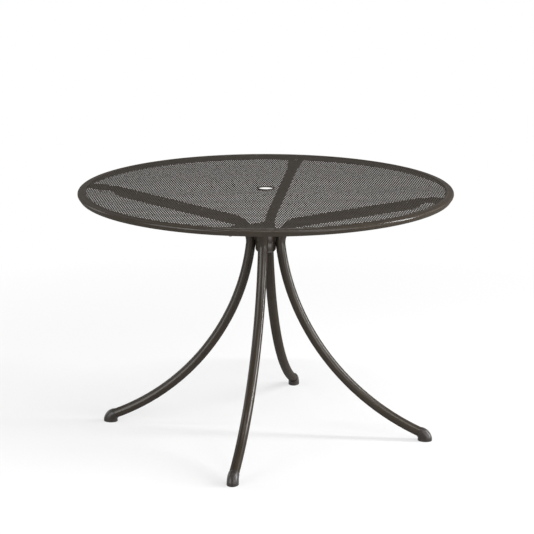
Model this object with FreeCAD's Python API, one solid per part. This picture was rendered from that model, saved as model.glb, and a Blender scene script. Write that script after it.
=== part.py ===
"""Round outdoor umbrella table: steel hoop, expanded-metal top, four bent tube legs and an umbrella hub.

Millimetres. The origin is on the floor below the middle of the umbrella hole, +Z is up, and the legs
point along +X, +Y, -X and -Y.
"""
import FreeCAD, Part
import math
import os

from FreeCAD import Vector

# Overall sizes
table_height = 725.0
rim_radius = 533.4

# Hoop: a strip formed with an inner lip, a nearly flat band and a skirt that leans inwards
rim_strip = 1.8
rim_width = 23.4
rim_height = 19.4
lip_drop = 6.0
lip_radius = 2.6
lip_flat_count = 1
band_fall = 0.85
shoulder_radius = 4.2
shoulder_flat_count = 3
inner_flat_count = 1
skirt_lean = 33.7
weld_gap = 0.1

# Expanded-metal sheet, drawn with larger openings than the real one
sheet_thickness = 1.5
sheet_below_lip = 1.0
sheet_turn = 10.9
sheet_edge = 7.0
opening_across = 85.0
opening_along = 162.0
strand_width = 9.0

# Umbrella hole, ring and pole
pole_hole_diameter = 42.6
ring_wall = 4.0
ring_stand = 2.5
ring_flange_diameter = 67.0
ring_flange_thickness = 1.5
ring_clearance = 0.15

# Leg tube: its curves are drawn as short straight runs, and its two sweeps grow with the table's height
tube_diameter = 28.0
bend_radius = 63.0
bend_run_count = 5
arm_slope = 11.4
waist_tilt = 6.9
upper_sweep_share = 0.8851
upper_sweep_tilt = 25.8
upper_sweep_run_count = 3
lower_sweep_share = 0.94524
lower_sweep_run_count = 6
tube_end_height = 24.2

# Flattened end of the arm
tab_width = 41.0
tab_thickness = 5.0
tab_sink = 0.83
flatten_inset = 87.0
flatten_length = 40.0
tab_end_gap = 5.0
tab_corner_bevel = 7.0

# Lug and its bolt
lug_drop = 12.0
lug_thickness = 3.5
lug_width = 40.0
lug_reach = 47.0
lug_corner_bevel = 6.0
bolt_inset = 23.0
bolt_diameter = 8.0
bolt_clearance = 0.25
bolt_head_diameter = 17.0
bolt_head_height = 4.0
bolt_tail = 4.4
thread_clearance = 0.05
nut_across_flats = 13.0
nut_height = 5.5

# Umbrella hub
sleeve_wall = 2.0
sleeve_above_waist = 52.0
sleeve_below_waist = 22.0
collar_wall = 2.1
collar_above_waist = 30.0
collar_below_waist = 5.5
hub_clearance = 0.1
bush_flange_height = 5.0
bush_neck_length = 45.0
bush_neck_wall = 3.6

# Foot
boot_wall = 1.3
boot_clearance = 0.15
boot_sleeve_length = 26.0
boot_inner_radius = 2.0
boot_length = 38.4
boot_width = 33.0
boot_edge_bevel = 2.5
boot_fan_count = 3

right_angle = 90.0
leg_sides = {"right": 0.0, "back": 90.0, "left": 180.0, "front": 270.0}

# Heights and radii that follow from the sizes above
rim_inner_radius = rim_radius - rim_width
flatten_start = rim_inner_radius - flatten_inset
lug_inner_radius = rim_inner_radius - lug_reach
bolt_circle_radius = rim_inner_radius - bolt_inset
upper_sweep_radius = table_height * upper_sweep_share
lower_sweep_radius = table_height * lower_sweep_share
tube_radius = tube_diameter / 2
pole_hole_radius = pole_hole_diameter / 2
sheet_top = table_height - sheet_below_lip
sheet_bottom = sheet_top - sheet_thickness
lug_top = table_height - lug_drop
lug_bottom = lug_top - lug_thickness
tab_bottom = lug_bottom - tab_thickness
sleeve_diameter = pole_hole_diameter + 2 * (bush_neck_wall + hub_clearance + sleeve_wall)
collar_radius = sleeve_diameter / 2 + hub_clearance + collar_wall
waist_radius = collar_radius + weld_gap + tube_radius


def polar(centre, radius, degrees):
    """Point of the leg's plane at a radius and an angle from a centre, both as (distance out, height)."""
    angle = math.radians(degrees)
    return (centre[0] + radius * math.cos(angle), centre[1] + radius * math.sin(angle))


def in_plane(point):
    """A (distance out, height) pair as a point of the XZ plane."""
    return Vector(point[0], 0, point[1])


def turned(shape, degrees):
    """Copy of a shape turned about the table's axis."""
    copy = shape.copy()
    copy.rotate(Vector(0, 0, 0), Vector(0, 0, 1), degrees)
    return copy


def cylinder(radius, height, base, direction=Vector(0, 0, 1)):
    """Solid cylinder from a base point along a direction."""
    return Part.makeCylinder(radius, height, base, direction)


def tube(outer_radius, inner_radius, bottom, top):
    """Upright ring about the table's axis."""
    base = Vector(0, 0, bottom)
    return cylinder(outer_radius, top - bottom, base).cut(cylinder(inner_radius, top - bottom, base))


def revolved(corners):
    """Solid made by turning a closed outline, given as (radius, height) corners, round the table's axis."""
    points = [in_plane(corner) for corner in corners]
    outline = Part.makePolygon(points + points[:1])
    return Part.Face(outline).revolve(Vector(0, 0, 0), Vector(0, 0, 1), 360)


def arc_flats(centre, radius, first, last, flats):
    """Corners of an arc drawn as a few flats between two angles."""
    return [polar(centre, radius, first + (last - first) * step / flats) for step in range(flats + 1)]


# Hoop

def down_skirt(point):
    """Foot of the skirt below a point of its side, at the skirt's lean."""
    bottom = table_height - rim_height
    return (point[0] - (point[1] - bottom) * math.tan(math.radians(skirt_lean)), bottom)


def hoop_profile():
    """Corners of the strip's outer side, from the lip to the skirt's foot, and of its inner side back."""
    lip_centre = (rim_inner_radius + lip_radius, table_height - lip_radius)
    shoulder_centre = (rim_radius - shoulder_radius, table_height - band_fall - shoulder_radius)
    inner_shoulder = shoulder_radius - rim_strip
    outer = [(rim_inner_radius, table_height - lip_drop)]
    outer += arc_flats(lip_centre, lip_radius, 2 * right_angle, right_angle, lip_flat_count)
    outer += arc_flats(shoulder_centre, shoulder_radius, right_angle, -skirt_lean, shoulder_flat_count)
    outer.append(down_skirt(outer[-1]))
    inner = arc_flats(shoulder_centre, inner_shoulder, -skirt_lean, right_angle, inner_flat_count)
    inner.insert(0, down_skirt(inner[0]))
    inner.append((rim_inner_radius + rim_strip, table_height - rim_strip))
    inner.append((rim_inner_radius + rim_strip, table_height - lip_drop))
    return outer, inner


def rim_hoop():
    """Strip section turned round the axis."""
    outer, inner = hoop_profile()
    return revolved(outer + inner)


def inside_skirt():
    """Solid that fills the hoop up to the skirt's inner face, less the weld gap."""
    foot, shoulder = hoop_profile()[1][:2]
    gap = weld_gap / math.cos(math.radians(skirt_lean))
    corners = [(0, foot[1]), (foot[0] - gap, foot[1])]
    corners += [(shoulder[0] - gap, shoulder[1]), (0, shoulder[1])]
    return revolved(corners)


# Sheet

def diamond(x, y):
    """Face of one diamond opening of the sheet, its long way along Y."""
    half_across = (opening_across - strand_width) / 2
    half_along = half_across * opening_along / opening_across
    points = [Vector(x + half_across, y, 0), Vector(x, y + half_along, 0)]
    points += [Vector(x - half_across, y, 0), Vector(x, y - half_along, 0)]
    return Part.Face(Part.makePolygon(points + points[:1]))


def sheet_openings(inner_radius, outer_radius):
    """Outlines of the staggered diamonds, cut off at the sheet's two plain edges."""
    outer = Part.Face(Part.Wire(Part.makeCircle(outer_radius)))
    inner = Part.Face(Part.Wire(Part.makeCircle(inner_radius)))
    field = outer.cut(inner)
    smallest = strand_width ** 2
    outlines = []
    columns = int(outer_radius / opening_across * 2) + 1
    rows = int(outer_radius / opening_along) + 1
    for column in range(-columns, columns + 1):
        shift = 0.5 if column % 2 else 0.0
        for row in range(-rows - 1, rows + 1):
            x = column * opening_across / 2
            y = (row + shift) * opening_along
            face = diamond(x, y)
            distances = [vertex.Point.Length for vertex in face.Vertexes]
            clear = min(distances) > inner_radius + opening_along / 2
            if max(distances) < outer_radius and clear:
                outlines.append(face.OuterWire)
                continue
            if min(distances) > outer_radius:
                continue
            outlines += [part.OuterWire for part in face.common(field).Faces if part.Area > smallest]
    return outlines


def mesh_top():
    """Flat sheet with an umbrella hole and staggered diamond openings between its plain edges."""
    hole_radius = pole_hole_radius + ring_wall + ring_clearance
    sheet_radius = rim_inner_radius - weld_gap
    cuts = [cylinder(hole_radius, sheet_thickness, Vector(0, 0, 0))]
    for outline in sheet_openings(hole_radius + sheet_edge, sheet_radius - sheet_edge):
        cuts.append(Part.Face(outline).extrude(Vector(0, 0, sheet_thickness)))
    sheet = cylinder(sheet_radius, sheet_thickness, Vector(0, 0, 0)).cut(Part.makeCompound(cuts))
    sheet.translate(Vector(0, 0, sheet_bottom))
    return turned(sheet, sheet_turn)


def umbrella_ring():
    """Ring with a neck through the sheet and a flange below it."""
    neck_radius = pole_hole_radius + ring_wall
    flange_radius = ring_flange_diameter / 2
    flange_bottom = sheet_bottom - ring_flange_thickness
    top = sheet_top + ring_stand
    return revolved([
        (pole_hole_radius, flange_bottom),
        (flange_radius, flange_bottom),
        (flange_radius, sheet_bottom),
        (neck_radius, sheet_bottom),
        (neck_radius, top),
        (pole_hole_radius, top),
    ])


# Leg

def leg_route():
    """Centres and corner points of the tube's centreline, as (distance out, height)."""
    tab_top = lug_bottom
    slope = math.radians(arm_slope)
    arm_end = (flatten_start, tab_top + tab_sink - tube_radius / math.cos(slope))
    bend_end_out = waist_radius + bend_radius * (1 - math.sin(slope))
    bend_end = (bend_end_out, arm_end[1] - (arm_end[0] - bend_end_out) * math.tan(slope))
    bend_centre = (waist_radius + bend_radius, bend_end[1] - bend_radius * math.cos(slope))
    upper_centre = polar(bend_centre, upper_sweep_radius - bend_radius, waist_tilt)
    lower_centre = polar(upper_centre, lower_sweep_radius - upper_sweep_radius, upper_sweep_tilt)
    end_tilt = math.degrees(math.asin((lower_centre[1] - tube_end_height) / lower_sweep_radius))
    run_turn = (end_tilt - upper_sweep_tilt) / lower_sweep_run_count
    return {
        "arm_end": arm_end,
        "bend_end": bend_end,
        "bend_centre": bend_centre,
        "upper_centre": upper_centre,
        "lower_centre": lower_centre,
        "end_tilt": end_tilt,
        "boot_tilt": end_tilt - run_turn / 2,
        "tube_end": polar(lower_centre, -lower_sweep_radius, end_tilt),
    }


def tube_path(route):
    """Centreline from the boot's end of the tube up to the flattening, with a corner at the waist."""
    points = arc_flats(route["lower_centre"], -lower_sweep_radius, route["end_tilt"], upper_sweep_tilt,
                       lower_sweep_run_count)
    points += arc_flats(route["upper_centre"], -upper_sweep_radius, upper_sweep_tilt, waist_tilt,
                        upper_sweep_run_count)[1:]
    points += arc_flats(route["bend_centre"], -bend_radius, 0, arm_slope - right_angle, bend_run_count)
    points.append(route["arm_end"])
    return Part.makePolygon([in_plane(point) for point in points])


def boot_axis(route):
    """Direction from the tube's end back along its last straight run."""
    angle = math.radians(route["boot_tilt"])
    return Vector(-math.sin(angle), 0, math.cos(angle))


def round_section(centre, upright):
    """Circle across the tube, in four arcs that start at its upper corner."""
    corner = tube_radius / math.sqrt(2)

    def place(out, up):
        return centre + Vector(0, out, 0) + upright * up

    corners = [place(corner, corner), place(-corner, corner), place(-corner, -corner), place(corner, -corner)]
    crowns = [place(0, tube_radius), place(-tube_radius, 0), place(0, -tube_radius), place(tube_radius, 0)]
    arcs = [Part.Arc(corners[side], crowns[side], corners[(side + 1) % 4]) for side in range(4)]
    return Part.Wire([arc.toShape() for arc in arcs])


def slot_section(centre):
    """Slot with round ends, as wide and thick as the tab, in two lines and two arcs in the circle's order."""
    half_thickness = tab_thickness / 2
    straight = tab_width / 2 - half_thickness
    corners = [centre + Vector(0, out, up) for out, up in (
        (straight, half_thickness), (-straight, half_thickness),
        (-straight, -half_thickness), (straight, -half_thickness))]
    left = Part.Arc(corners[1], centre - Vector(0, tab_width / 2, 0), corners[2])
    right = Part.Arc(corners[3], centre + Vector(0, tab_width / 2, 0), corners[0])
    return Part.Wire([Part.makeLine(corners[0], corners[1]), left.toShape(),
                      Part.makeLine(corners[2], corners[3]), right.toShape()])


def flattened_end(route):
    """Loft from the round tube to the flat tab, which lies a little below the tube's upper line."""
    slope = math.radians(arm_slope)
    leaning = Vector(-math.sin(slope), 0, math.cos(slope))
    round_end = round_section(in_plane(route["arm_end"]), leaning)
    flat_end = slot_section(Vector(flatten_start + flatten_length, 0, lug_bottom - tab_thickness / 2))
    return Part.makeLoft([round_end, flat_end], True, True)


def flat_plate(start, end, width, bottom, thickness, near_bevel, far_bevel):
    """Level plate along +X with bevelled corners at its near and far ends."""
    half = width / 2
    side = [(start, half - near_bevel), (start + near_bevel, half)]
    side += [(end - far_bevel, half), (end, half - far_bevel)]
    corners = list(dict.fromkeys(side + [(x, -y) for x, y in reversed(side)]))
    points = [Vector(x, y, bottom) for x, y in corners]
    return Part.Face(Part.makePolygon(points + points[:1])).extrude(Vector(0, 0, thickness))


def tab_plate():
    """Flat tab with bevelled corners at its end."""
    tab_start = flatten_start + flatten_length
    tab_end = rim_inner_radius - tab_end_gap
    return flat_plate(tab_start, tab_end, tab_width, tab_bottom, tab_thickness, 0, tab_corner_bevel)


def bolt_hole(bottom, top):
    """Clearance hole of the arm's bolt between two heights."""
    return cylinder(bolt_diameter / 2 + bolt_clearance, top - bottom, Vector(bolt_circle_radius, 0, bottom))


def leg_tube():
    """One leg and arm along +X: round tube, flattened end and tab. Closed at both ends, so solid inside."""
    route = leg_route()
    section = Part.Wire(Part.makeCircle(tube_radius, in_plane(route["tube_end"]), boot_axis(route)))
    mitred_corners = 1
    body = tube_path(route).makePipeShell([section], True, False, mitred_corners)
    leg = body.fuse([flattened_end(route), tab_plate()])
    return leg.cut(bolt_hole(tab_bottom, lug_bottom))


# Foot

def oval_ring(centre, along, length, width):
    """Closed oval wire in the plane of Y and one direction, a circle where length and width agree."""
    if length - width > 1e-6:
        oval = Part.Ellipse(centre + along * (length / 2), centre + Vector(0, width / 2, 0), centre)
    else:
        oval = Part.Circle(centre, along.cross(Vector(0, 1, 0)), length / 2)
        oval.XAxis = along
    return Part.Wire(oval.toBSpline().toShape())


def boot_sleeve(route, radius):
    """Round bar along the tube's end, under the boot's sleeve."""
    return cylinder(radius, boot_sleeve_length, in_plane(route["tube_end"]), boot_axis(route))


def foot_boot():
    """Moulded boot: a sleeve round the tube's end, a bend downwards and an oval pad on the floor."""
    route = leg_route()
    end = in_plane(route["tube_end"])
    boot_radius = tube_radius + boot_clearance + boot_wall
    upwards = in_plane(polar((0, 0), 1, route["boot_tilt"]))
    hinge = end - upwards * (boot_radius + boot_inner_radius)
    rings = []
    for step in range(boot_fan_count + 1):
        share = step / boot_fan_count
        along = in_plane(polar((0, 0), 1, route["boot_tilt"] * (1 - share)))
        length = 2 * boot_radius + (boot_length - 2 * boot_radius) * share
        width = 2 * boot_radius + (boot_width - 2 * boot_radius) * share
        rings.append(oval_ring(hinge + along * (boot_inner_radius + length / 2), along, length, width))
    pad_centre = Vector(hinge.x + boot_inner_radius + boot_length / 2, 0, 0)
    outwards = Vector(1, 0, 0)
    rings.append(oval_ring(pad_centre + Vector(0, 0, boot_edge_bevel), outwards, boot_length, boot_width))
    rings.append(oval_ring(pad_centre, outwards, boot_length - 2 * boot_edge_bevel,
                           boot_width - 2 * boot_edge_bevel))
    boot = boot_sleeve(route, boot_radius).fuse(Part.makeLoft(rings, True, True))
    return boot.cut(boot_sleeve(route, tube_radius + boot_clearance))


# Lugs and fasteners at the hoop

def rim_lug():
    """Plate welded inside the skirt over one arm's tab."""
    plate = flat_plate(lug_inner_radius, rim_radius, lug_width, lug_bottom, lug_thickness,
                       lug_corner_bevel, 0)
    return plate.common(inside_skirt()).cut(bolt_hole(lug_bottom, lug_top))


def nut_bottom():
    """Height of the lower face of the nut."""
    return tab_bottom - nut_height


def rim_bolt():
    """Bolt with a low round head on the lug and a shank down through tab and nut."""
    tip = nut_bottom() - bolt_tail
    head = cylinder(bolt_head_diameter / 2, bolt_head_height, Vector(bolt_circle_radius, 0, lug_top))
    shank = cylinder(bolt_diameter / 2, lug_top - tip, Vector(bolt_circle_radius, 0, tip))
    return head.fuse(shank)


def rim_nut():
    """Hexagon nut below the tab."""
    base = Vector(bolt_circle_radius, 0, nut_bottom())
    corner_radius = nut_across_flats / math.sqrt(3)
    corners = [base + Vector(*polar((0, 0), corner_radius, 60 * side), 0) for side in range(7)]
    prism = Part.Face(Part.makePolygon(corners)).extrude(Vector(0, 0, nut_height))
    return prism.cut(cylinder(bolt_diameter / 2 + thread_clearance, nut_height, base))


# Umbrella hub

def waist_height():
    """Height at which the legs pass closest to the table's axis."""
    return leg_route()["bend_centre"][1]


def sleeve_bottom():
    """Lower end of the hub's sleeve."""
    return waist_height() - sleeve_below_waist


def hub_sleeve():
    """Steel tube round the umbrella pole."""
    outer = sleeve_diameter / 2
    return tube(outer, outer - sleeve_wall, sleeve_bottom(), waist_height() + sleeve_above_waist)


def hub_collar():
    """Ring round the sleeve that the legs are welded to."""
    bottom = waist_height() - collar_below_waist
    top = waist_height() + collar_above_waist
    return tube(collar_radius, sleeve_diameter / 2 + hub_clearance, bottom, top)


def pole_bush():
    """Plastic liner in the sleeve's lower end, with a flange below it."""
    flange_radius = sleeve_diameter / 2
    neck_radius = flange_radius - sleeve_wall - hub_clearance
    top = sleeve_bottom() + bush_neck_length
    bottom = sleeve_bottom() - bush_flange_height
    return revolved([
        (pole_hole_radius, bottom),
        (flange_radius, bottom),
        (flange_radius, sleeve_bottom()),
        (neck_radius, sleeve_bottom()),
        (neck_radius, top),
        (pole_hole_radius, top),
    ])


def four_times(make):
    """One solid for each leg, gathered in one piece of the list."""
    return Part.makeCompound([turned(make(), angle) for angle in leg_sides.values()])


def main():
    """Write every piece of the table to its own file."""
    os.makedirs("parts", exist_ok=True)
    pieces = {
        "rim_hoop": rim_hoop(),
        "mesh_top": mesh_top(),
        "umbrella_ring": umbrella_ring(),
        "hub_sleeve": hub_sleeve(),
        "hub_collar": hub_collar(),
        "pole_bush": pole_bush(),
        "rim_bolts": four_times(rim_bolt),
        "rim_nuts": four_times(rim_nut),
        "foot_boots": four_times(foot_boot),
    }
    leg = leg_tube()
    lug = rim_lug()
    for side, angle in leg_sides.items():
        pieces["leg_" + side] = turned(leg, angle)
        pieces["lug_" + side] = turned(lug, angle)
    for name, shape in pieces.items():
        print(name, "solids", len(shape.Solids), "valid", shape.isValid(), "volume", round(shape.Volume))
        shape.exportStep("parts/" + name + ".step")


main()
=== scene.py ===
import math

import bpy
import numpy as np
from mathutils import Matrix, Vector


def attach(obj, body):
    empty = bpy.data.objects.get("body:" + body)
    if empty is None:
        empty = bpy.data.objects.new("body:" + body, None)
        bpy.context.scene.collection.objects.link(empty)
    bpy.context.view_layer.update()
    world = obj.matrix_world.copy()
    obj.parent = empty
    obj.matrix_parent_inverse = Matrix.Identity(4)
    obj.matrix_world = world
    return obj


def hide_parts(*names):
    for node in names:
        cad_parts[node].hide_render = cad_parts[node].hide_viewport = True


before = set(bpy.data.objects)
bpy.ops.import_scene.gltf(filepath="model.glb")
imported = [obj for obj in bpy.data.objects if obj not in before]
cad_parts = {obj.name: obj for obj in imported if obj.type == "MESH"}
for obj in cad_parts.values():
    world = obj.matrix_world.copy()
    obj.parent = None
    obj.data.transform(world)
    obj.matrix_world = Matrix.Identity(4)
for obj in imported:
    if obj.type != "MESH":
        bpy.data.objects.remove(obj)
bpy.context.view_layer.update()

LEG_SIDES = {"right": 0.0, "back": 90.0, "left": 180.0, "front": 270.0}
BODY = "root"
SAME_PLACE = 1e-7
ROUND_STEPS = 5
SOFT_EDGE = 0.0006
FINE_EDGE = 0.0003
SHARP_ANGLE = math.radians(40.0)

# Hoop and sheet
TABLE_HEIGHT = 0.725
RIM_RADIUS = 0.5334
RIM_INNER_RADIUS = 0.510
RIM_STRIP = 0.0018
RIM_HEIGHT = 0.0194
RIM_EDGE = RIM_STRIP * 0.35
LIP_DROP = 0.006
BEAD_RADIUS = 0.0026
BEAD_FOOT_RADIUS = BEAD_RADIUS / 4
BEAD_WIDTH = 0.0066
BEAD_STAND = 0.0018
BAND_FALL = 0.0022
SHOULDER_RADIUS = 0.0060
SKIRT_LEAN = math.radians(33.7)
HOOP_SEGMENTS = 288
SHEET_TOP = 0.724
SHEET_THICKNESS = 0.0020
SHEET_TURN = math.radians(10.9)
OPENING_ACROSS = 0.0066
OPENING_ALONG = 0.030
BOND_SHARE = 0.17
STRAND_WIDTH = 0.0036
STRAND_CROWN = 0.0002
CELL_SIDES = 6
SHEET_PARTS = 4

# Umbrella ring and hub
POLE_HOLE_RADIUS = 0.0213
RING_WALL = 0.004
RING_STAND = 0.0025
RING_DEPTH = 0.0015
RING_OUTER_ROUND = 0.0016
RING_INNER_ROUND = 0.0012
WAIST_HEIGHT = 0.56792
SLEEVE_RADIUS = 0.027
SLEEVE_WALL = 0.002
SLEEVE_ABOVE = 0.052
SLEEVE_BELOW = 0.022
SLEEVE_FOOT_ROUND = 0.0016
COLLAR_RADIUS = 0.0292
COLLAR_START = 0.0042
GROOVE_START = 0.0018
COLLAR_END = 0.030
COLLAR_EDGE = 0.0007
BUSH_FLANGE_HEIGHT = 0.005
BUSH_NECK_LENGTH = 0.045
BUSH_BEVEL = 0.0025
BUSH_BEVEL_EDGE = 0.0008
BUSH_SEAT_EDGE = 0.0004
HUB_SEGMENTS = 96

# Leg: the centreline's arcs by their centre (out, up), radius and the tilts where they start and end
TUBE_RADIUS = 0.014
LOWER_CENTRE = (0.720063, 0.656419)
LOWER_RADIUS = 0.6853
UPPER_CENTRE = (0.680809, 0.637443)
UPPER_RADIUS = 0.6417
BEND_CENTRE = (0.1063, WAIST_HEIGHT)
BEND_RADIUS = 0.063
TUBE_END_TILT = math.radians(67.301)
SWEEP_JOIN_TILT = math.radians(25.8)
WAIST_TILT = math.radians(6.9)
ARM_SLOPE = math.radians(11.4)
ARM_END = (0.423, 0.696048)
FLATTEN_LENGTH = 0.040
TAB_END = 0.505
TAB_WIDTH = 0.041
TAB_THICKNESS = 0.005
TAB_BOTTOM = 0.7045
TAB_CORNER = 0.010
TUBE_SIDES = 48
SLOT_FULLNESS = 2.2
LOWER_STEPS = 22
UPPER_STEPS = 14
BEND_STEPS = 26
FLATTEN_STEPS = 18
CORNER_STEPS = 9

# Boot: its hinge (out, up) is the line that its ovals turn about
BOOT_WALL = 0.0015
BOOT_MOUTH_TILT = math.radians(67.0)
BOOT_HINGE = (0.4457, 0.0090)
BOOT_HINGE_RADIUS = 0.002
BOOT_LENGTH = 0.0412
BOOT_WIDTH = 0.033
BOOT_EDGE = 0.0022
BOOT_FLARE = 0.0004
BOOT_SIDE_SHARES = (0.75, 0.5, 0.28)
BOOT_SIDES = 64
BOOT_FAN_STEPS = 24
BOOT_EDGE_STEPS = 6

# Fasteners
BOLT_CIRCLE = 0.487
LUG_TOP = 0.713
WASHER_RADIUS = 0.0085
WASHER_THICKNESS = 0.0012
WASHER_EDGE = 0.0002
WASHER_SEGMENTS = 48
NUT_HEIGHT = 0.0055
NUT_BOTTOM = TAB_BOTTOM - WASHER_THICKNESS - NUT_HEIGHT
NUT_ACROSS_FLATS = 0.013
NUT_BEVEL = 0.0009
NUT_FACE_SHARE = 0.98
NUT_CORNER_SHARE = 1.16
NUT_SEGMENTS = 48
BOLT_RADIUS = 0.004
BOLT_TIP = 0.6946
BOLT_TIP_BEVEL = 0.0008
BOLT_HEAD_RADIUS = 0.0085
BOLT_HEAD_RIM = 0.0006
BOLT_DOME = 0.0034
BOLT_DOME_STEPS = 9
BOLT_SEGMENTS = 32
SHANK_STEPS = 96
THREAD_PITCH = 0.00125
THREAD_DEPTH = 0.00045

# Welds
WELD_SIDES = 12
WELD_RIPPLE = 0.12
WELD_TAPER = 1.5
UPRIGHT_LIMIT = 0.3
HUB_WELD_ASIDE = 0.0066
HUB_WELD_START = 0.001
HUB_WELD_END = 0.020
HUB_WELD_RADIUS = 0.0021
HUB_WELD_PITCH = 0.0028
HUB_WELD_STEPS = 60
SKIRT_INSIDE = 0.5265
LUG_WELD_REACH = 0.019
LUG_WELD_RADIUS = 0.0016
LUG_WELD_PITCH = 0.0026
LUG_WELD_STEPS = 90

# Finishes
WHITE = (1, 1, 1, 1)
BLOTCH_SHARE = 0.55
FLECK_SHARE = 0.45
DARKEST_AT = 0.36
LIGHTEST_AT = 0.64

# Picture: the focal share is the focal length over the picture's width, both in pixels
CAMERA_PLACE = (1.0689, -5.5307, 1.896)
CAMERA_DOWN = math.radians(13.98)
CAMERA_YAW = math.radians(10.90)
CAMERA_ROLL = math.radians(0.05)
SENSOR_WIDTH = 36.0
FOCAL_SHARE = 2022.0 / 534.0
CAMERA_REACH = 200.0
LAMP_AIM = (0, 0, 0.5)
SOFT_LIGHT = 0.16
FLOOR_HALF = 30.0
FLOOR_PAINT = 0.54
SHADOW_SHARE = 0.38
SHADOW_FULL_RADIUS = 0.9
SHADOW_END_RADIUS = 2.2


def grid_faces(rows, columns, rows_close, columns_close):
    """Triangles of a grid of points, two to a cell. A closed direction joins its last line to its first."""
    row, column = np.meshgrid(np.arange(rows - (not rows_close)), np.arange(columns - (not columns_close)),
                              indexing="ij")
    next_row = (row + 1) % rows
    next_column = (column + 1) % columns
    near_left = row * columns + column
    near_right = row * columns + next_column
    far_left = next_row * columns + column
    far_right = next_row * columns + next_column
    first = np.stack([near_left, far_left, far_right], -1).reshape(-1, 3)
    second = np.stack([near_left, far_right, near_right], -1).reshape(-1, 3)
    return np.concatenate([first, second])


def merged(points, faces):
    """Points at the same place become one, and triangles left without area go."""
    keys = np.round(points / SAME_PLACE).astype(np.int64)
    first, index = np.unique(keys, axis=0, return_index=True, return_inverse=True)[1:]
    faces = index.reshape(-1)[faces]
    a, b, c = faces.T
    return points[first], faces[(a != b) & (b != c) & (c != a)]


def facing_out(points, faces):
    """Triangles turned so that the volume they enclose is positive."""
    a, b, c = points[faces[:, 0]], points[faces[:, 1]], points[faces[:, 2]]
    volume = np.einsum("ij,ij->", a, np.cross(b, c))
    return faces if volume > 0 else faces[:, ::-1]


def skin(points, faces):
    """A (points, triangles) pair from a grid of points, merged and facing out."""
    points, faces = merged(points.reshape(-1, 3), faces)
    return points, facing_out(points, faces)


def capped(rings):
    """Closed skin through rings of points, each end drawn together to the middle of its last ring."""
    ends = [np.repeat(rings[at].mean(0)[None, None], rings.shape[1], 1) for at in (0, -1)]
    points = np.concatenate([ends[0], rings, ends[1]])
    return skin(points, grid_faces(len(points), points.shape[1], False, True))


def joined(shapes):
    """Several (points, triangles) pairs as one pair."""
    points = [shape[0] for shape in shapes]
    starts = np.cumsum([0] + [len(some) for some in points])
    faces = [shape[1] + start for shape, start in zip(shapes, starts)]
    return np.concatenate(points), np.concatenate(faces)


def turned(shape, degrees):
    """A (points, triangles) pair turned about the table's axis."""
    points, faces = shape
    across = math.cos(math.radians(degrees))
    aside = math.sin(math.radians(degrees))
    spin = np.array([[across, -aside, 0], [aside, across, 0], [0, 0, 1]])
    return points @ spin.T, faces


def at_each_leg(shape):
    """Four copies of a (points, triangles) pair, one at each leg, as one pair."""
    return joined([turned(shape, degrees) for degrees in LEG_SIDES.values()])


def add_piece(name, shape, material, nodes):
    """Mesh object of a (points, triangles) pair, smooth except where faces meet at a sharp angle."""
    points, faces = shape
    mesh = bpy.data.meshes.new(name)
    mesh.vertices.add(len(points))
    mesh.vertices.foreach_set("co", points.astype(np.float32).ravel())
    mesh.loops.add(faces.size)
    mesh.loops.foreach_set("vertex_index", faces.astype(np.int32).ravel())
    mesh.polygons.add(len(faces))
    mesh.polygons.foreach_set("loop_start", np.arange(0, faces.size, 3, dtype=np.int32))
    mesh.update(calc_edges=True)
    mesh.validate()
    mesh.shade_smooth()
    mesh.set_sharp_from_angle(angle=SHARP_ANGLE)
    mesh.materials.append(material)
    piece = bpy.data.objects.new(name, mesh)
    bpy.context.scene.collection.objects.link(piece)
    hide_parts(*nodes)
    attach(piece, BODY)


def rounded_outline(corners, radii):
    """Closed outline with each corner replaced by an arc about a centre on the corner's bisector."""
    corners = np.array(corners, float)
    radii = np.array(radii, float)[:, None]
    before = np.roll(corners, 1, 0) - corners
    after = np.roll(corners, -1, 0) - corners
    before /= np.linalg.norm(before, axis=1, keepdims=True)
    after /= np.linalg.norm(after, axis=1, keepdims=True)
    half = np.arccos(np.clip((before * after).sum(1), -1, 1))[:, None] / 2
    bisector = (before + after) / np.linalg.norm(before + after, axis=1, keepdims=True)
    centre = corners + bisector * radii / np.sin(half)
    start = corners + before * radii / np.tan(half) - centre
    end = corners + after * radii / np.tan(half) - centre
    sweep = (np.pi - 2 * half)[:, :, None]
    share = np.linspace(0, 1, ROUND_STEPS + 1)[None, :, None]
    from_start = np.sin((1 - share) * sweep) * start[:, None]
    from_end = np.sin(share * sweep) * end[:, None]
    return (centre[:, None] + (from_start + from_end) / np.sin(sweep)).reshape(-1, 2)


def lathe(outline, segments, centre=(0.0, 0.0)):
    """Solid of revolution: each outline point (r, z) goes to (r cos t, r sin t, z), t over a full turn."""
    turn = np.linspace(0, 2 * np.pi, segments, endpoint=False)[:, None]
    radius, height = outline[:, 0][None], outline[:, 1][None]
    points = np.stack([centre[0] + radius * np.cos(turn), centre[1] + radius * np.sin(turn),
                       height + 0 * turn], -1)
    return skin(points, grid_faces(segments, len(outline), True, True))


def carried(centres, tangents, half_widths, half_heights):
    """Closed skin round a path in the XZ plane: slots of given half sizes, along Y and across the path."""
    turn = np.linspace(0, 2 * np.pi, TUBE_SIDES, endpoint=False)[None]
    straight = half_widths - half_heights
    flat = np.clip(SLOT_FULLNESS * np.cos(turn), -1, 1)
    out = straight[:, None] * flat + half_heights[:, None] * np.cos(turn)
    up = half_heights[:, None] * np.sin(turn)
    x = centres[:, 0, None] - tangents[:, 1, None] * up
    z = centres[:, 1, None] + tangents[:, 0, None] * up
    return capped(np.stack([x, out, z], -1))


# Legs

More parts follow.
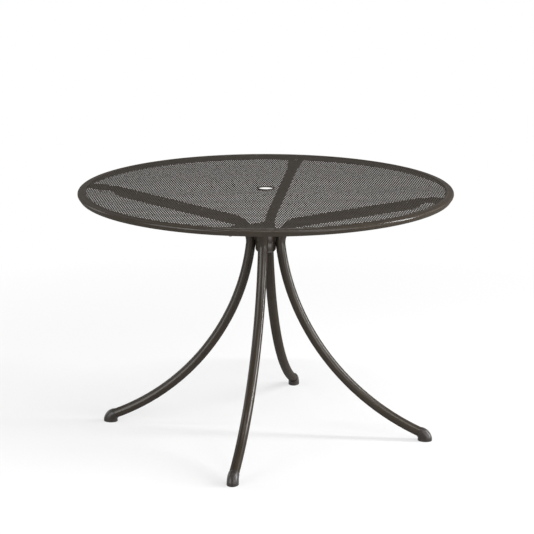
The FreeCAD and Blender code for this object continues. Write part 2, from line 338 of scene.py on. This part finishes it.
def arc_of_leg(centre, radius, first, last, count):
    """Points centre - radius (cos t, sin t) and tangents (-sin t, cos t) for tilts t between two values."""
    tilt = np.linspace(first, last, count)
    points = np.stack([centre[0] - radius * np.cos(tilt), centre[1] - radius * np.sin(tilt)], -1)
    return points, np.stack([-np.sin(tilt), np.cos(tilt)], -1)


def leg_shape():
    """Round tube along three arcs and a straight arm, eased into a flat tab with rounded corners."""
    lower = arc_of_leg(LOWER_CENTRE, LOWER_RADIUS, TUBE_END_TILT, SWEEP_JOIN_TILT, LOWER_STEPS)
    upper = arc_of_leg(UPPER_CENTRE, UPPER_RADIUS, SWEEP_JOIN_TILT, WAIST_TILT, UPPER_STEPS)
    bend = arc_of_leg(BEND_CENTRE, BEND_RADIUS, WAIST_TILT, ARM_SLOPE - math.pi / 2, BEND_STEPS)
    share = np.linspace(0, 1, FLATTEN_STEPS)
    eased = share ** 2 * (3 - 2 * share)
    tilt = ARM_SLOPE * (1 - eased)
    along = FLATTEN_LENGTH * share
    tab_middle = TAB_BOTTOM + TAB_THICKNESS / 2
    height = (ARM_END[1] + along * math.tan(ARM_SLOPE)) * (1 - eased) + tab_middle * eased
    flat = np.stack([ARM_END[0] + along, height], -1), np.stack([np.cos(tilt), np.sin(tilt)], -1)
    corner = TAB_CORNER * (1 - np.cos(np.linspace(0, np.pi / 2, CORNER_STEPS)))[::-1]
    tab_out = TAB_END - corner
    tab = np.stack([tab_out, 0 * tab_out + tab_middle], -1), np.stack([0 * tab_out + 1, 0 * tab_out], -1)
    parts = [lower, (upper[0][1:], upper[1][1:]), (bend[0][1:], bend[1][1:]), flat, tab]
    centres = np.concatenate([part[0] for part in parts])
    tangents = np.concatenate([part[1] for part in parts])
    round_count = len(centres) - len(share) - len(corner)
    flat_widths = TUBE_RADIUS + (TAB_WIDTH / 2 - TUBE_RADIUS) * eased
    flat_heights = TUBE_RADIUS + (TAB_THICKNESS / 2 - TUBE_RADIUS) * eased
    inset = TAB_CORNER - np.sqrt(np.maximum(TAB_CORNER ** 2 - (TAB_CORNER - corner) ** 2, 0))
    tab_widths = TAB_WIDTH / 2 - inset
    widths = np.concatenate([np.full(round_count, TUBE_RADIUS), flat_widths, tab_widths])
    tab_heights = 0 * corner + TAB_THICKNESS / 2
    heights = np.concatenate([np.full(round_count, TUBE_RADIUS), flat_heights, tab_heights])
    return carried(centres, tangents, widths, heights)


# Boots

def boot_shape():
    """Moulded boot: a rounded mouth on the tube, ovals turned about a hinge, then sides down to the floor."""
    radius = TUBE_RADIUS + BOOT_WALL
    hinge = np.array(BOOT_HINGE)

    share = np.linspace(0, 1, BOOT_FAN_STEPS)
    fan_tilt = BOOT_MOUTH_TILT * (1 - share)
    fan_length = radius + (BOOT_LENGTH / 2 - radius) * share
    fan_width = radius + (BOOT_WIDTH / 2 - radius) * share
    fan_side = np.stack([np.cos(fan_tilt), np.sin(fan_tilt)], -1)
    fan = hinge + (BOOT_HINGE_RADIUS + fan_length)[:, None] * fan_side

    edge = np.linspace(0, np.pi / 2, BOOT_EDGE_STEPS)
    lip = edge[:-1]
    lip_size = radius - BOOT_WALL * (1 - np.sin(lip))
    up_the_tube = np.array([-math.sin(BOOT_MOUTH_TILT), math.cos(BOOT_MOUTH_TILT)])
    lip_centre = fan[0] + (BOOT_WALL * np.cos(lip))[:, None] * up_the_tube

    down = np.array(BOOT_SIDE_SHARES)
    foot_height = np.concatenate([hinge[1] * down, BOOT_EDGE * (1 - np.sin(edge))])
    flare = np.concatenate([BOOT_FLARE * (1 - down), BOOT_EDGE * (np.cos(edge) - 1) + BOOT_FLARE])
    foot = np.stack([0 * foot_height + fan[-1, 0], foot_height], -1)

    centres = np.concatenate([lip_centre, fan, foot])
    tilts = np.concatenate([0 * lip + BOOT_MOUTH_TILT, fan_tilt, 0 * foot_height])
    lengths = np.concatenate([lip_size, fan_length, BOOT_LENGTH / 2 + flare])
    widths = np.concatenate([lip_size, fan_width, BOOT_WIDTH / 2 + flare])
    turn = np.linspace(0, 2 * np.pi, BOOT_SIDES, endpoint=False)[None]
    along = lengths[:, None] * np.cos(turn)
    return capped(np.stack([centres[:, 0, None] + along * np.cos(tilts)[:, None],
                            widths[:, None] * np.sin(turn),
                            centres[:, 1, None] + along * np.sin(tilts)[:, None]], -1))


# Hoop and sheet

def hoop_shape():
    """Formed strip turned about the axis: beaded lip, gently falling band, round shoulder, leaning skirt."""
    inner, top = RIM_INNER_RADIUS, TABLE_HEIGHT
    bottom = top - RIM_HEIGHT
    lean = math.tan(SKIRT_LEAN)
    shoulder = np.array([RIM_RADIUS - SHOULDER_RADIUS, top - BAND_FALL - SHOULDER_RADIUS])
    touch = shoulder + SHOULDER_RADIUS * np.array([math.cos(SKIRT_LEAN), -math.sin(SKIRT_LEAN)])
    top_corner = np.array([touch[0] + (top - BAND_FALL - touch[1]) * lean, top - BAND_FALL])
    foot = np.array([touch[0] - (touch[1] - bottom) * lean, bottom])
    wall_out = RIM_STRIP / math.cos(SKIRT_LEAN)
    inside_corner = top_corner + [-wall_out - RIM_STRIP * lean, -RIM_STRIP]
    inside_foot = foot - [wall_out, 0]
    corners = [(inner, top - LIP_DROP), (inner, top), (inner + BEAD_WIDTH, top),
               (inner + BEAD_WIDTH + BEAD_STAND, top - BEAD_STAND), top_corner, foot, inside_foot,
               inside_corner, (inner + RIM_STRIP, top - BEAD_STAND - RIM_STRIP),
               (inner + RIM_STRIP, top - LIP_DROP)]
    radii = [RIM_EDGE, BEAD_RADIUS, BEAD_RADIUS, BEAD_FOOT_RADIUS, SHOULDER_RADIUS, RIM_EDGE, RIM_EDGE,
             SHOULDER_RADIUS - RIM_STRIP, RIM_EDGE, RIM_EDGE]
    return lathe(rounded_outline(corners, radii), HOOP_SEGMENTS)


def edge_walls(points, faces):
    """Triangles between each free edge on a flat sheet's top and the free edge straight below it."""
    edges = np.concatenate([faces[:, [0, 1]], faces[:, [1, 2]], faces[:, [2, 0]]])
    there = edges[:, 0] * len(points) + edges[:, 1]
    back = edges[:, 1] * len(points) + edges[:, 0]
    high = points[:, 2] > points[:, 2].max() - SAME_PLACE
    start, end = edges[~np.isin(there, back) & high[edges].all(1)].T
    places = np.round(points[:, :2] / SAME_PLACE).astype(np.int64)
    low = np.flatnonzero(points[:, 2] < points[:, 2].min() + SAME_PLACE)
    below = {tuple(places[at]): at for at in low}
    start_below = np.array([below[tuple(places[at])] for at in start])
    end_below = np.array([below[tuple(places[at])] for at in end])
    upper = np.stack([end, start, start_below], -1)
    lower = np.stack([end, start_below, end_below], -1)
    return np.concatenate([upper, lower])


def sheet_shapes():
    """Expanded metal: a ring of strands round each staggered long hexagon, cut at the lip and the neck.

    A cell's two long sides run along it for a share of its pitch, where the bonds are, and its other sides
    slant to its tips. Cells share their sides, where the strands are highest, and an opening's sides lie half
    a strand inside them. Corners past the lip or inside the neck are moved radially onto it.
    """
    outer_limit = RIM_INNER_RADIUS
    inner_limit = POLE_HOLE_RADIUS + RING_WALL
    columns = int(outer_limit / OPENING_ACROSS * 2) + 2
    rows = int(outer_limit / OPENING_ALONG) + 2
    column, row = np.meshgrid(np.arange(-columns, columns + 1), np.arange(-rows, rows + 1), indexing="ij")
    centre_x = (column * OPENING_ACROSS / 2).ravel()
    centre_y = ((row + 0.5 * (column % 2)) * OPENING_ALONG).ravel()
    centre = np.stack([centre_x, centre_y], -1)
    centre = centre[np.argsort(centre_x, kind="stable")]
    half_bond = OPENING_ALONG * BOND_SHARE
    half_across = OPENING_ACROSS / 2
    slope = (OPENING_ALONG / 2 - 2 * half_bond) / half_across
    inset = STRAND_WIDTH / 2
    slant_drop = inset * math.hypot(1, slope)
    hole_side = half_bond + slope * inset - slant_drop
    hole_tip = OPENING_ALONG / 2 - half_bond - slant_drop

    def six_corners(side_out, side_end, tip):
        """Corners of a long hexagon from its half width, its long sides' half length and its tip."""
        quarter = np.array([[side_out, side_end], [0, tip], [-side_out, side_end]])
        return np.concatenate([quarter, -quarter])

    rim = centre[:, None] + six_corners(half_across, half_bond, OPENING_ALONG / 2 - half_bond)
    distance = np.linalg.norm(rim, axis=-1)
    kept = (distance.min(1) < outer_limit - inset) & (distance.max(1) > inner_limit + inset)
    centre, rim = centre[kept], rim[kept]
    hole = centre[:, None] + six_corners(half_across - inset, hole_side, hole_tip)
    top, bottom = SHEET_TOP, SHEET_TOP - SHEET_THICKNESS
    levels = [(rim, top), (hole, top - STRAND_CROWN), (hole, bottom + STRAND_CROWN), (rim, bottom)]
    rings = []
    for ring, height in levels:
        distance = np.linalg.norm(ring, axis=-1, keepdims=True)
        held = ring * np.clip(distance, inner_limit, outer_limit) / distance
        rings.append(np.concatenate([held, np.full(held.shape[:2] + (1,), height)], -1))
    points = np.stack(rings, 1)
    spin = np.array([[math.cos(SHEET_TURN), math.sin(SHEET_TURN), 0],
                     [-math.sin(SHEET_TURN), math.cos(SHEET_TURN), 0], [0, 0, 1]])
    points = points @ spin
    one = grid_faces(len(levels), CELL_SIDES, False, True)
    for part in np.array_split(np.arange(len(centre)), SHEET_PARTS):
        starts = np.arange(len(part)) * len(levels) * CELL_SIDES
        faces = (one[None] + starts[:, None, None]).reshape(-1, 3)
        flat, faces = merged(points[part].reshape(-1, 3), faces)
        faces = np.concatenate([faces, edge_walls(flat, faces)])
        yield flat, facing_out(flat, faces)


def ring_shape():
    """Umbrella ring: a round-edged ring in the sheet's hole."""
    neck = POLE_HOLE_RADIUS + RING_WALL
    under = SHEET_TOP - RING_DEPTH
    top = SHEET_TOP + RING_STAND
    corners = [(POLE_HOLE_RADIUS, under), (neck, under), (neck, top), (POLE_HOLE_RADIUS, top)]
    radii = [SOFT_EDGE, SOFT_EDGE, RING_OUTER_ROUND, RING_INNER_ROUND]
    return lathe(rounded_outline(corners, radii), HUB_SEGMENTS)


# Hub

def sleeve_shape():
    """Steel tube round the pole, its lower end as wide as the collar up to a groove under the collar."""
    inner = SLEEVE_RADIUS - SLEEVE_WALL
    bottom, top = WAIST_HEIGHT - SLEEVE_BELOW, WAIST_HEIGHT + SLEEVE_ABOVE
    groove = WAIST_HEIGHT + GROOVE_START
    corners = [(inner, bottom), (COLLAR_RADIUS, bottom), (COLLAR_RADIUS, groove), (SLEEVE_RADIUS, groove),
               (SLEEVE_RADIUS, top), (inner, top)]
    radii = [SOFT_EDGE, SLEEVE_FOOT_ROUND, SOFT_EDGE, FINE_EDGE, SOFT_EDGE, SOFT_EDGE]
    return lathe(rounded_outline(corners, radii), HUB_SEGMENTS)


def collar_shape():
    """Ring that the legs are welded to."""
    bottom, top = WAIST_HEIGHT + COLLAR_START, WAIST_HEIGHT + COLLAR_END
    corners = [(SLEEVE_RADIUS, bottom), (COLLAR_RADIUS, bottom), (COLLAR_RADIUS, top), (SLEEVE_RADIUS, top)]
    return lathe(rounded_outline(corners, [COLLAR_EDGE] * len(corners)), HUB_SEGMENTS)


def bush_shape():
    """Liner with a bevelled flange that closes the sleeve's lower end."""
    neck = SLEEVE_RADIUS - SLEEVE_WALL
    shoulder = WAIST_HEIGHT - SLEEVE_BELOW
    bottom = shoulder - BUSH_FLANGE_HEIGHT
    corners = [(POLE_HOLE_RADIUS, bottom), (SLEEVE_RADIUS - BUSH_BEVEL, bottom),
               (SLEEVE_RADIUS, bottom + BUSH_BEVEL), (SLEEVE_RADIUS, shoulder), (neck, shoulder),
               (neck, shoulder + BUSH_NECK_LENGTH), (POLE_HOLE_RADIUS, shoulder + BUSH_NECK_LENGTH)]
    radii = [SOFT_EDGE, BUSH_BEVEL_EDGE, BUSH_BEVEL_EDGE, BUSH_SEAT_EDGE, FINE_EDGE, FINE_EDGE, SOFT_EDGE]
    return lathe(rounded_outline(corners, radii), HUB_SEGMENTS)


# Fasteners

def nut_shape():
    """Hexagon nut whose corners are turned off at both faces."""
    turn = np.linspace(0, 2 * np.pi, NUT_SEGMENTS, endpoint=False)[None]
    across = NUT_ACROSS_FLATS / 2
    face = across * NUT_FACE_SHARE
    corner = across * NUT_CORNER_SHARE
    hexagon = across / np.cos((turn + np.pi / 6) % (np.pi / 3) - np.pi / 6)
    level = np.array([0, 0, NUT_BEVEL, NUT_HEIGHT - NUT_BEVEL, NUT_HEIGHT, NUT_HEIGHT])[:, None]
    limit = np.array([BOLT_RADIUS, face, corner, corner, face, BOLT_RADIUS])[:, None]
    radius = np.minimum(hexagon, limit)
    points = np.stack([BOLT_CIRCLE + radius * np.cos(turn), radius * np.sin(turn),
                       NUT_BOTTOM + level + 0 * turn], -1)
    return skin(points, grid_faces(len(level), NUT_SEGMENTS, True, True))


def bolt_shape():
    """Low domed head on the lug and a threaded shank, its radius a sawtooth of the height and the turn."""
    dome = np.linspace(0, np.pi / 2, BOLT_DOME_STEPS)
    head = np.stack([BOLT_HEAD_RADIUS * np.sin(dome), LUG_TOP + BOLT_HEAD_RIM + BOLT_DOME * np.cos(dome)], -1)
    shank = np.linspace(LUG_TOP, BOLT_TIP + BOLT_TIP_BEVEL, SHANK_STEPS)
    outline = np.concatenate([head, [[BOLT_HEAD_RADIUS, LUG_TOP]],
                              np.stack([0 * shank + BOLT_RADIUS, shank], -1),
                              [[BOLT_RADIUS - BOLT_TIP_BEVEL, BOLT_TIP], [0, BOLT_TIP]]])
    turn = np.linspace(0, 2 * np.pi, BOLT_SEGMENTS, endpoint=False)[:, None]
    threaded = (outline[:, 1] < TAB_BOTTOM) & (outline[:, 0] > BOLT_RADIUS - BOLT_TIP_BEVEL / 2)
    phase = (outline[:, 1][None] / THREAD_PITCH - turn / (2 * np.pi)) % 1
    radius = outline[:, 0][None] - threaded * THREAD_DEPTH * (1 - np.abs(2 * phase - 1))
    points = np.stack([BOLT_CIRCLE + radius * np.cos(turn), radius * np.sin(turn),
                       outline[:, 1][None] + 0 * turn], -1)
    return skin(points, grid_faces(BOLT_SEGMENTS, len(outline), True, False))


def washer_shape():
    """Flat round washer between the tab and the nut."""
    bottom = TAB_BOTTOM - WASHER_THICKNESS
    corners = [(BOLT_RADIUS, bottom), (WASHER_RADIUS, bottom), (WASHER_RADIUS, TAB_BOTTOM),
               (BOLT_RADIUS, TAB_BOTTOM)]
    radii = [WASHER_EDGE, 2 * WASHER_EDGE, WASHER_EDGE, WASHER_EDGE]
    return lathe(rounded_outline(corners, radii), WASHER_SEGMENTS, (BOLT_CIRCLE, 0.0))


# Weld beads

def weld_bead(path, radius, pitch):
    """Rod along a path of points, its radius swelling and shrinking at a ripple's pitch, its ends pointed."""
    step = np.gradient(path, axis=0)
    step /= np.linalg.norm(step, axis=1, keepdims=True)
    aside = np.cross(step, [0, 0, 1.0])
    upright = np.linalg.norm(aside, axis=1) < UPRIGHT_LIMIT
    aside[upright] = np.cross(step[upright], [1.0, 0, 0])
    aside /= np.linalg.norm(aside, axis=1, keepdims=True)
    other = np.cross(step, aside)
    length = np.concatenate([[0], np.cumsum(np.linalg.norm(np.diff(path, axis=0), axis=1))])
    size = radius * (1 + WELD_RIPPLE * np.cos(2 * np.pi * length / pitch))
    size *= np.sqrt(np.clip(np.minimum(length, length[-1] - length) / (WELD_TAPER * radius), 0, 1))
    turn = np.linspace(0, 2 * np.pi, WELD_SIDES, endpoint=False)[None, :, None]
    spoke = np.cos(turn) * aside[:, None] + np.sin(turn) * other[:, None]
    points = path[:, None] + size[:, None, None] * spoke
    return skin(points, grid_faces(len(path), WELD_SIDES, False, True))


def hub_weld(side):
    """Bead in the crevice between a leg and the collar, on one side of the leg."""
    height = np.linspace(WAIST_HEIGHT + COLLAR_START + HUB_WELD_START, WAIST_HEIGHT + HUB_WELD_END,
                         HUB_WELD_STEPS)
    lean = np.sqrt(BEND_RADIUS ** 2 - (height - WAIST_HEIGHT) ** 2)
    leg_face = BEND_CENTRE[0] - lean - math.sqrt(TUBE_RADIUS ** 2 - HUB_WELD_ASIDE ** 2)
    collar_face = math.sqrt(COLLAR_RADIUS ** 2 - HUB_WELD_ASIDE ** 2)
    out = (leg_face + collar_face) / 2
    path = np.stack([out, 0 * height + HUB_WELD_ASIDE * side, height], -1)
    return weld_bead(path, HUB_WELD_RADIUS, HUB_WELD_PITCH)


def lug_weld():
    """Bead along the upper edge of a lug where it meets the skirt."""
    across = np.linspace(-LUG_WELD_REACH, LUG_WELD_REACH, LUG_WELD_STEPS)
    path = np.stack([np.sqrt(SKIRT_INSIDE ** 2 - across ** 2), across, 0 * across + LUG_TOP], -1)
    return weld_bead(path, LUG_WELD_RADIUS, LUG_WELD_PITCH)


# Finishes

def node_of(tree, kind, **inputs):
    """Shader node with some of its sockets set."""
    node = tree.nodes.new(kind)
    for name, value in inputs.items():
        node.inputs[name.replace("_", " ")].default_value = value
    return node


def math_node(tree, operation, second=0.5):
    """Math node of one operation, with its second value set."""
    node = tree.nodes.new("ShaderNodeMath")
    node.operation = operation
    node.inputs[1].default_value = second
    return node


def new_finish(name, colour, roughness, **sockets):
    """Material with one Principled shader, its constant sockets set directly."""
    material = bpy.data.materials.new(name)
    material.use_nodes = True
    shader = material.node_tree.nodes["Principled BSDF"]
    shader.inputs["Base Color"].default_value = (*colour, 1)
    shader.inputs["Roughness"].default_value = roughness
    for socket, value in sockets.items():
        shader.inputs[socket.replace("_", " ")].default_value = value
    return material, material.node_tree, shader


def speckled(tree, shader, dark, light, blotch_scale, fleck_scale):
    """Base colour between two tones, by soft blotches with fine flecks over them."""
    place = node_of(tree, "ShaderNodeTexCoord")
    blotch = node_of(tree, "ShaderNodeTexNoise", Scale=blotch_scale, Detail=3.0)
    fleck = node_of(tree, "ShaderNodeTexNoise", Scale=fleck_scale, Detail=1.0)
    mix = math_node(tree, "MULTIPLY_ADD", BLOTCH_SHARE)
    share = math_node(tree, "MULTIPLY", FLECK_SHARE)
    ramp = node_of(tree, "ShaderNodeValToRGB")
    darkest, lightest = ramp.color_ramp.elements
    darkest.position = DARKEST_AT
    darkest.color = (*dark, 1)
    lightest.position = LIGHTEST_AT
    lightest.color = (*light, 1)
    tree.links.new(place.outputs["Object"], blotch.inputs["Vector"])
    tree.links.new(place.outputs["Object"], fleck.inputs["Vector"])
    tree.links.new(fleck.outputs["Fac"], share.inputs[0])
    tree.links.new(blotch.outputs["Fac"], mix.inputs[0])
    tree.links.new(share.outputs[0], mix.inputs[2])
    tree.links.new(mix.outputs[0], ramp.inputs["Fac"])
    tree.links.new(ramp.outputs["Color"], shader.inputs["Base Color"])
    return place


def pebbled(tree, shader, place, scale, depth, strength):
    """Bump of small rounded pebbles, as sprayed powder or moulded grain leaves."""
    noise = node_of(tree, "ShaderNodeTexNoise", Scale=scale, Detail=2.0)
    bump = node_of(tree, "ShaderNodeBump", Strength=strength, Distance=depth)
    tree.links.new(place.outputs["Object"], noise.inputs["Vector"])
    tree.links.new(noise.outputs["Fac"], bump.inputs["Height"])
    tree.links.new(bump.outputs["Normal"], shader.inputs["Normal"])


def bronze_powder_coat():
    """Satin dark bronze powder coat with a faint orange peel."""
    material, tree, shader = new_finish("bronze powder coat", colour=(0.0192, 0.0150, 0.0107), roughness=0.5,
                                        Specular_IOR_Level=0.0, Coat_Weight=0.12, Coat_IOR=2.0,
                                        Coat_Roughness=0.21)
    place = speckled(tree, shader, dark=(0.0162, 0.0124, 0.0087), light=(0.0226, 0.0179, 0.0130),
                     blotch_scale=14.0, fleck_scale=1500.0)
    pebbled(tree, shader, place, scale=420.0, depth=0.0001, strength=0.1)
    return material


def moulded_plastic():
    """Dark moulded plastic with a fine matt grain."""
    material, tree, shader = new_finish("dark moulded plastic", colour=(0.014, 0.0115, 0.0095),
                                        roughness=0.36, Specular_IOR_Level=0.22)
    place = speckled(tree, shader, dark=(0.012, 0.0096, 0.0080), light=(0.017, 0.0138, 0.0118),
                     blotch_scale=30.0, fleck_scale=1800.0)
    pebbled(tree, shader, place, scale=1600.0, depth=0.0001, strength=0.2)
    return material


def zinc_plate():
    """Dull zinc plate with faint blotches."""
    material, tree, shader = new_finish("dull zinc plate", colour=(0.40, 0.39, 0.37), roughness=0.38,
                                        Metallic=1.0)
    place = speckled(tree, shader, dark=(0.30, 0.29, 0.275), light=(0.46, 0.455, 0.44),
                     blotch_scale=220.0, fleck_scale=2500.0)
    pebbled(tree, shader, place, scale=1200.0, depth=0.0001, strength=0.2)
    return material


# Picture

def seen_directly(tree):
    """Output that is 1 for camera, glossy and transmission rays and 0 for the rest."""
    path = node_of(tree, "ShaderNodeLightPath")
    first = math_node(tree, "MAXIMUM")
    second = math_node(tree, "MAXIMUM")
    tree.links.new(path.outputs["Is Camera Ray"], first.inputs[0])
    tree.links.new(path.outputs["Is Glossy Ray"], first.inputs[1])
    tree.links.new(first.outputs[0], second.inputs[0])
    tree.links.new(path.outputs["Is Transmission Ray"], second.inputs[1])
    return second.outputs[0]


def set_world(strength):
    """White surroundings, and soft light of the given strength on the object."""
    world = bpy.data.worlds.new("white studio")
    bpy.context.scene.world = world
    world.use_nodes = True
    tree = world.node_tree
    soft = tree.nodes["Background"]
    soft.inputs["Color"].default_value = WHITE
    soft.inputs["Strength"].default_value = strength
    white = node_of(tree, "ShaderNodeBackground", Color=WHITE, Strength=1.0)
    mix = node_of(tree, "ShaderNodeMixShader")
    tree.links.new(seen_directly(tree), mix.inputs[0])
    tree.links.new(soft.outputs[0], mix.inputs[1])
    tree.links.new(white.outputs[0], mix.inputs[2])
    tree.links.new(mix.outputs[0], tree.nodes["World Output"].inputs["Surface"])


def add_floor(shadow_share):
    """White floor that keeps a share of the shadows on it, fading out with the distance from the table."""
    mesh = bpy.data.meshes.new("floor")
    corners = [(-FLOOR_HALF, -FLOOR_HALF, 0), (FLOOR_HALF, -FLOOR_HALF, 0), (FLOOR_HALF, FLOOR_HALF, 0),
               (-FLOOR_HALF, FLOOR_HALF, 0)]
    mesh.from_pydata(corners, [], [(0, 1, 2, 3)])
    material = bpy.data.materials.new("white floor")
    material.use_nodes = True
    tree = material.node_tree
    tree.nodes.remove(tree.nodes["Principled BSDF"])
    paint = node_of(tree, "ShaderNodeBsdfDiffuse", Color=(FLOOR_PAINT, FLOOR_PAINT, FLOOR_PAINT, 1))
    white = node_of(tree, "ShaderNodeEmission")
    place = node_of(tree, "ShaderNodeTexCoord")
    distance = node_of(tree, "ShaderNodeVectorMath")
    distance.operation = "LENGTH"
    fade = node_of(tree, "ShaderNodeMapRange", From_Min=SHADOW_FULL_RADIUS, From_Max=SHADOW_END_RADIUS,
                   To_Min=1 - shadow_share, To_Max=1.0)
    share = math_node(tree, "MULTIPLY")
    mix = node_of(tree, "ShaderNodeMixShader")
    tree.links.new(place.outputs["Object"], distance.inputs[0])
    tree.links.new(distance.outputs["Value"], fade.inputs["Value"])
    tree.links.new(fade.outputs["Result"], share.inputs[1])
    tree.links.new(seen_directly(tree), share.inputs[0])
    tree.links.new(share.outputs[0], mix.inputs[0])
    tree.links.new(paint.outputs[0], mix.inputs[1])
    tree.links.new(white.outputs[0], mix.inputs[2])
    tree.links.new(mix.outputs[0], tree.nodes["Material Output"].inputs["Surface"])
    mesh.materials.append(material)
    floor = bpy.data.objects.new("floor", mesh)
    bpy.context.scene.collection.objects.link(floor)


def add_softbox(name, azimuth, elevation, distance, size, watts):
    """Oblong lamp facing the table, its azimuth counted from the camera's side towards the right."""
    lamp = bpy.data.lights.new(name, "AREA")
    lamp.shape = "RECTANGLE"
    lamp.size, lamp.size_y = size
    lamp.energy = watts
    holder = bpy.data.objects.new(name, lamp)
    bpy.context.scene.collection.objects.link(holder)
    turn = CAMERA_YAW - math.pi / 2 + math.radians(azimuth)
    rise = math.radians(elevation)
    target = Vector(LAMP_AIM)
    level = math.cos(rise)
    towards = Vector((math.cos(turn) * level, math.sin(turn) * level, math.sin(rise)))
    holder.location = target + distance * towards
    holder.rotation_euler = (target - holder.location).to_track_quat("-Z", "Y").to_euler()


def add_camera():
    """Camera at the picture's place and angle."""
    lens = bpy.data.cameras.new("camera")
    lens.sensor_width = SENSOR_WIDTH
    lens.lens = SENSOR_WIDTH * FOCAL_SHARE
    lens.clip_end = CAMERA_REACH
    camera = bpy.data.objects.new("camera", lens)
    bpy.context.scene.collection.objects.link(camera)
    camera.matrix_world = (Matrix.Translation(CAMERA_PLACE) @ Matrix.Rotation(CAMERA_YAW, 4, "Z")
                           @ Matrix.Rotation(math.pi / 2 - CAMERA_DOWN, 4, "X")
                           @ Matrix.Rotation(CAMERA_ROLL, 4, "Z"))
    bpy.context.scene.camera = camera


def build():
    """Every piece of the table. Its lugs stay as CAD made them, in bronze."""
    bronze = bronze_powder_coat()
    plastic = moulded_plastic()
    zinc = zinc_plate()
    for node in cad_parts.values():
        node.data.materials.clear()
        node.data.materials.append(bronze)
    leg = leg_shape()
    for side, degrees in LEG_SIDES.items():
        add_piece("tube_" + side, turned(leg, degrees), bronze, ["leg_" + side])
    add_piece("boots", at_each_leg(boot_shape()), plastic, ["foot_boots"])
    add_piece("formed_hoop", hoop_shape(), bronze, ["rim_hoop"])
    for number, shape in enumerate(sheet_shapes(), 1):
        add_piece(f"expanded_metal_{number}", shape, bronze, ["mesh_top"])
    add_piece("pole_ring", ring_shape(), bronze, ["umbrella_ring"])
    add_piece("pole_sleeve", sleeve_shape(), bronze, ["hub_sleeve"])
    add_piece("welding_collar", collar_shape(), bronze, ["hub_collar"])
    add_piece("pole_liner", bush_shape(), plastic, ["pole_bush"])
    add_piece("nuts", at_each_leg(nut_shape()), zinc, ["rim_nuts"])
    add_piece("bolts", at_each_leg(bolt_shape()), zinc, ["rim_bolts"])
    add_piece("washers", at_each_leg(washer_shape()), zinc, [])
    two_beads = joined([hub_weld(1), hub_weld(-1)])
    add_piece("hub_welds", at_each_leg(two_beads), bronze, [])
    add_piece("lug_welds", at_each_leg(lug_weld()), bronze, [])


build()
bpy.context.scene.view_settings.view_transform = "Standard"
add_camera()
set_world(SOFT_LIGHT)
add_floor(SHADOW_SHARE)
# Each lamp's azimuth and elevation in degrees, its distance, its size across and up, and its watts
add_softbox("right_strip", 87, 18, 4.0, (0.6, 3.2), 360)
add_softbox("right_high", 36, 40, 4.0, (1.6, 1.2), 50)
add_softbox("right_back", 122, 22, 4.0, (1.0, 1.6), 20)
add_softbox("front_low", 36, 10, 4.0, (2.4, 0.9), 74)
add_softbox("right_low", 48, -8, 2.2, (1.6, 0.3), 16)
add_softbox("left_front", -54, 12, 4.0, (2.2, 3.0), 130)
add_softbox("left_middle", -36, 4, 4.0, (1.6, 2.0), 55)
add_softbox("left_back", -118, 14, 4.0, (1.2, 2.2), 40)
add_softbox("overhead_strip", 0, 82, 4.0, (2.6, 0.15), 115)
